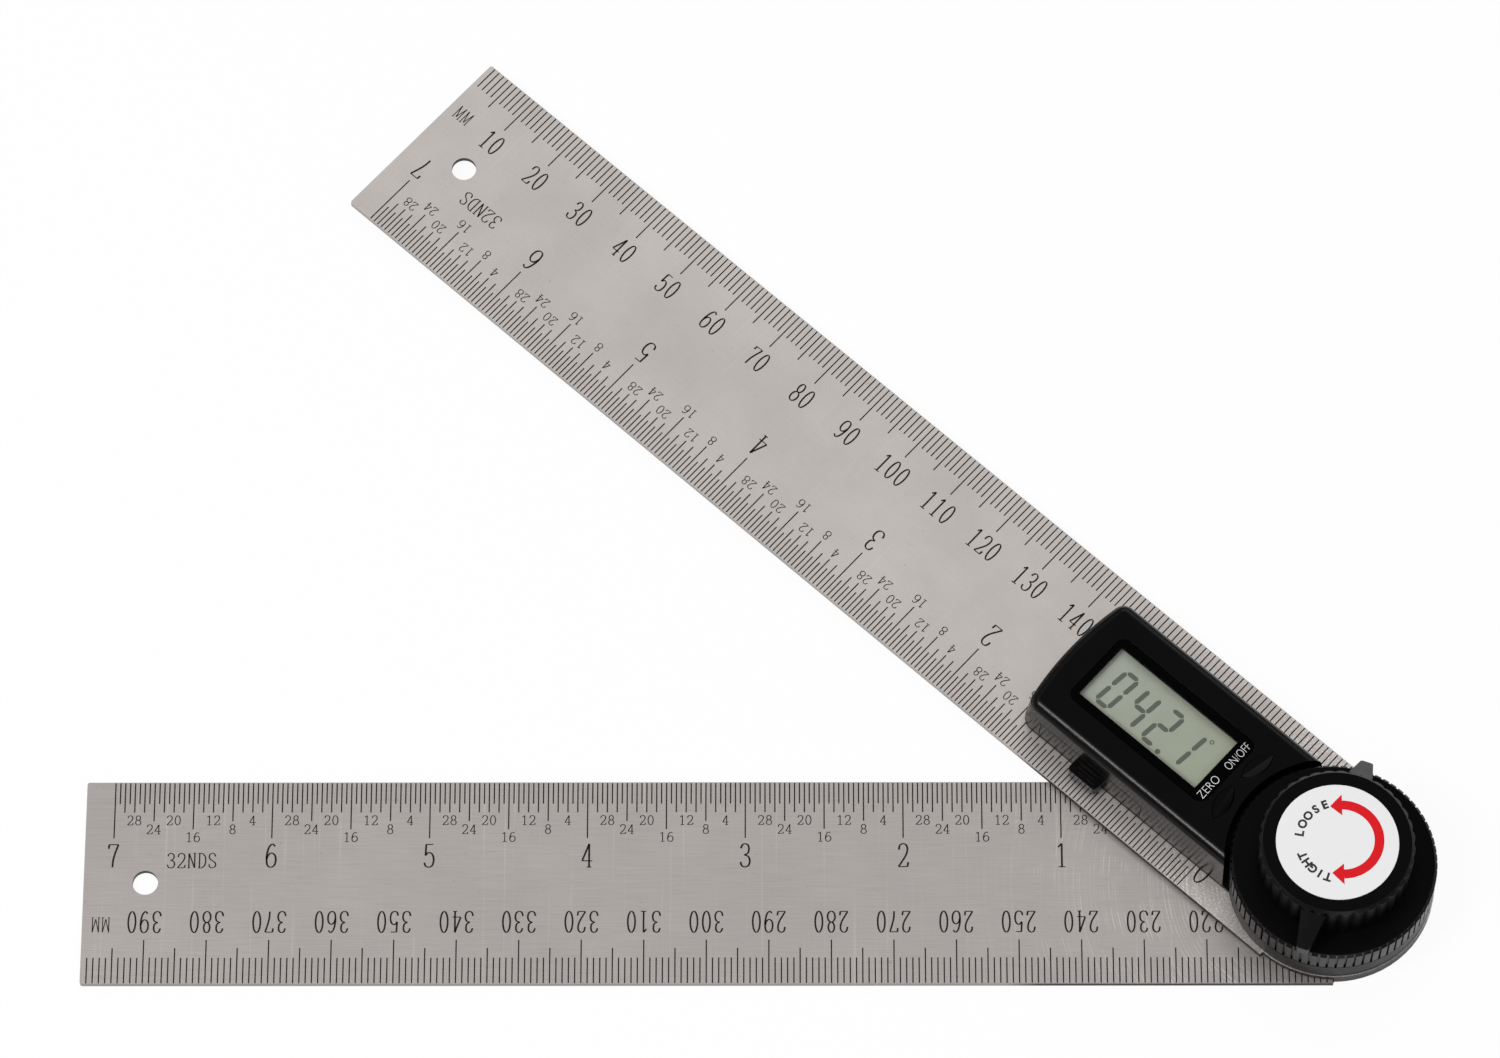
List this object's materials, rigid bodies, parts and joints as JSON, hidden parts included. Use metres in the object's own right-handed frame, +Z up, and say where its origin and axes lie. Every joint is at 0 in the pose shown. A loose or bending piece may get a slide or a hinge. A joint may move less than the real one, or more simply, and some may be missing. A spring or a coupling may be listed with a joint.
{
  "type": "digital protractor",
  "caption": "Digital protractor: two steel rules on a locking pivot, with an angle display, keys and a battery tray.",
  "frame": {"origin": "pivot axis at the underside of the lower rule", "axes": "+Z up along the pivot axis, the lower rule points along -X, the upper rule is open 42.1 degrees"},
  "size_m": [0.2167, 0.1641, 0.0186],
  "materials": {
    "stainless_rule": "fine grain along the rule",
    "housing_black": "satin moulded",
    "knob_black": "satin moulded",
    "clear_lens": "clear, glossy",
    "display_glass": "grey-green, matt",
    "turned_steel": "turned",
    "nylon": "matt",
    "circuit_board": "solder mask",
    "chip_plastic": "matt",
    "contact_rubber": "matt",
    "contact_metal": "plated",
    "cell_steel": "satin",
    "brass": "turned",
    "label_print": "printed film"
  },
  "bodies": {
    "lower_arm": {"lower_blade": "stainless_rule", "pivot_hub": "turned_steel", "pivot_stud": "turned_steel", "hub_screws": "turned_steel", "slip_washer": "nylon", "grip_disc": "knob_black", "rotor_board": "circuit_board", "wave_washer": "turned_steel"},
    "upper_arm": {"upper_blade": "stainless_rule", "friction_washer": "nylon", "housing_base": "housing_black", "housing_cover": "housing_black", "housing_screws": "turned_steel", "stator_board": "circuit_board", "main_board": "circuit_board", "controller_chip": "chip_plastic", "board_connector": "chip_plastic", "tact_switches": "chip_plastic", "lcd_frame": "chip_plastic", "zebra_strips": "contact_rubber", "lcd_panel": "display_glass", "display_lens": "clear_lens", "positive_contact": "contact_metal", "negative_contact": "contact_metal"},
    "cell_drawer": {"battery_tray": "housing_black", "coin_cell": "cell_steel"},
    "zero_key": {"zero_button": "housing_black"},
    "power_key": {"power_button": "housing_black"},
    "clamp_washer": {"thrust_washer": "turned_steel"},
    "lock_knob": {"knob_grip": "knob_black", "knob_insert": "brass", "knob_label": "label_print"}
  },
  "joints": [
    {"name": "arm_pivot", "type": "hinge", "parent": "lower_arm", "child": "upper_arm", "pos_m": [0, 0, 0], "axis": [0, 0, -1], "continuous": true},
    {"name": "drawer_slide", "type": "slide", "parent": "upper_arm", "child": "cell_drawer", "axis": [-0.6704, -0.742, 0], "range_m": [0, 0.0225]},
    {"name": "zero_press", "type": "slide", "parent": "upper_arm", "child": "zero_key", "axis": [0, 0, -1], "range_m": [0, 0.0004], "stiffness_N_per_m": 250, "springref_m": -0.0004},
    {"name": "power_press", "type": "slide", "parent": "upper_arm", "child": "power_key", "axis": [0, 0, -1], "range_m": [0, 0.0004], "stiffness_N_per_m": 250, "springref_m": -0.0004},
    {"name": "washer_lift", "type": "slide", "parent": "lower_arm", "child": "clamp_washer", "axis": [0, 0, 1], "range_m": [0, 0.00061], "deforming": ["wave_washer"]},
    {"name": "knob_turn", "type": "hinge", "parent": "clamp_washer", "child": "lock_knob", "pos_m": [0, 0, 0.0107], "axis": [0, 0, 1], "range_deg": [0, 270]}
  ],
  "couplings": [
    {"joint": "washer_lift", "follows": "knob_turn", "m_per_rad": 0.00012732}
  ]
}
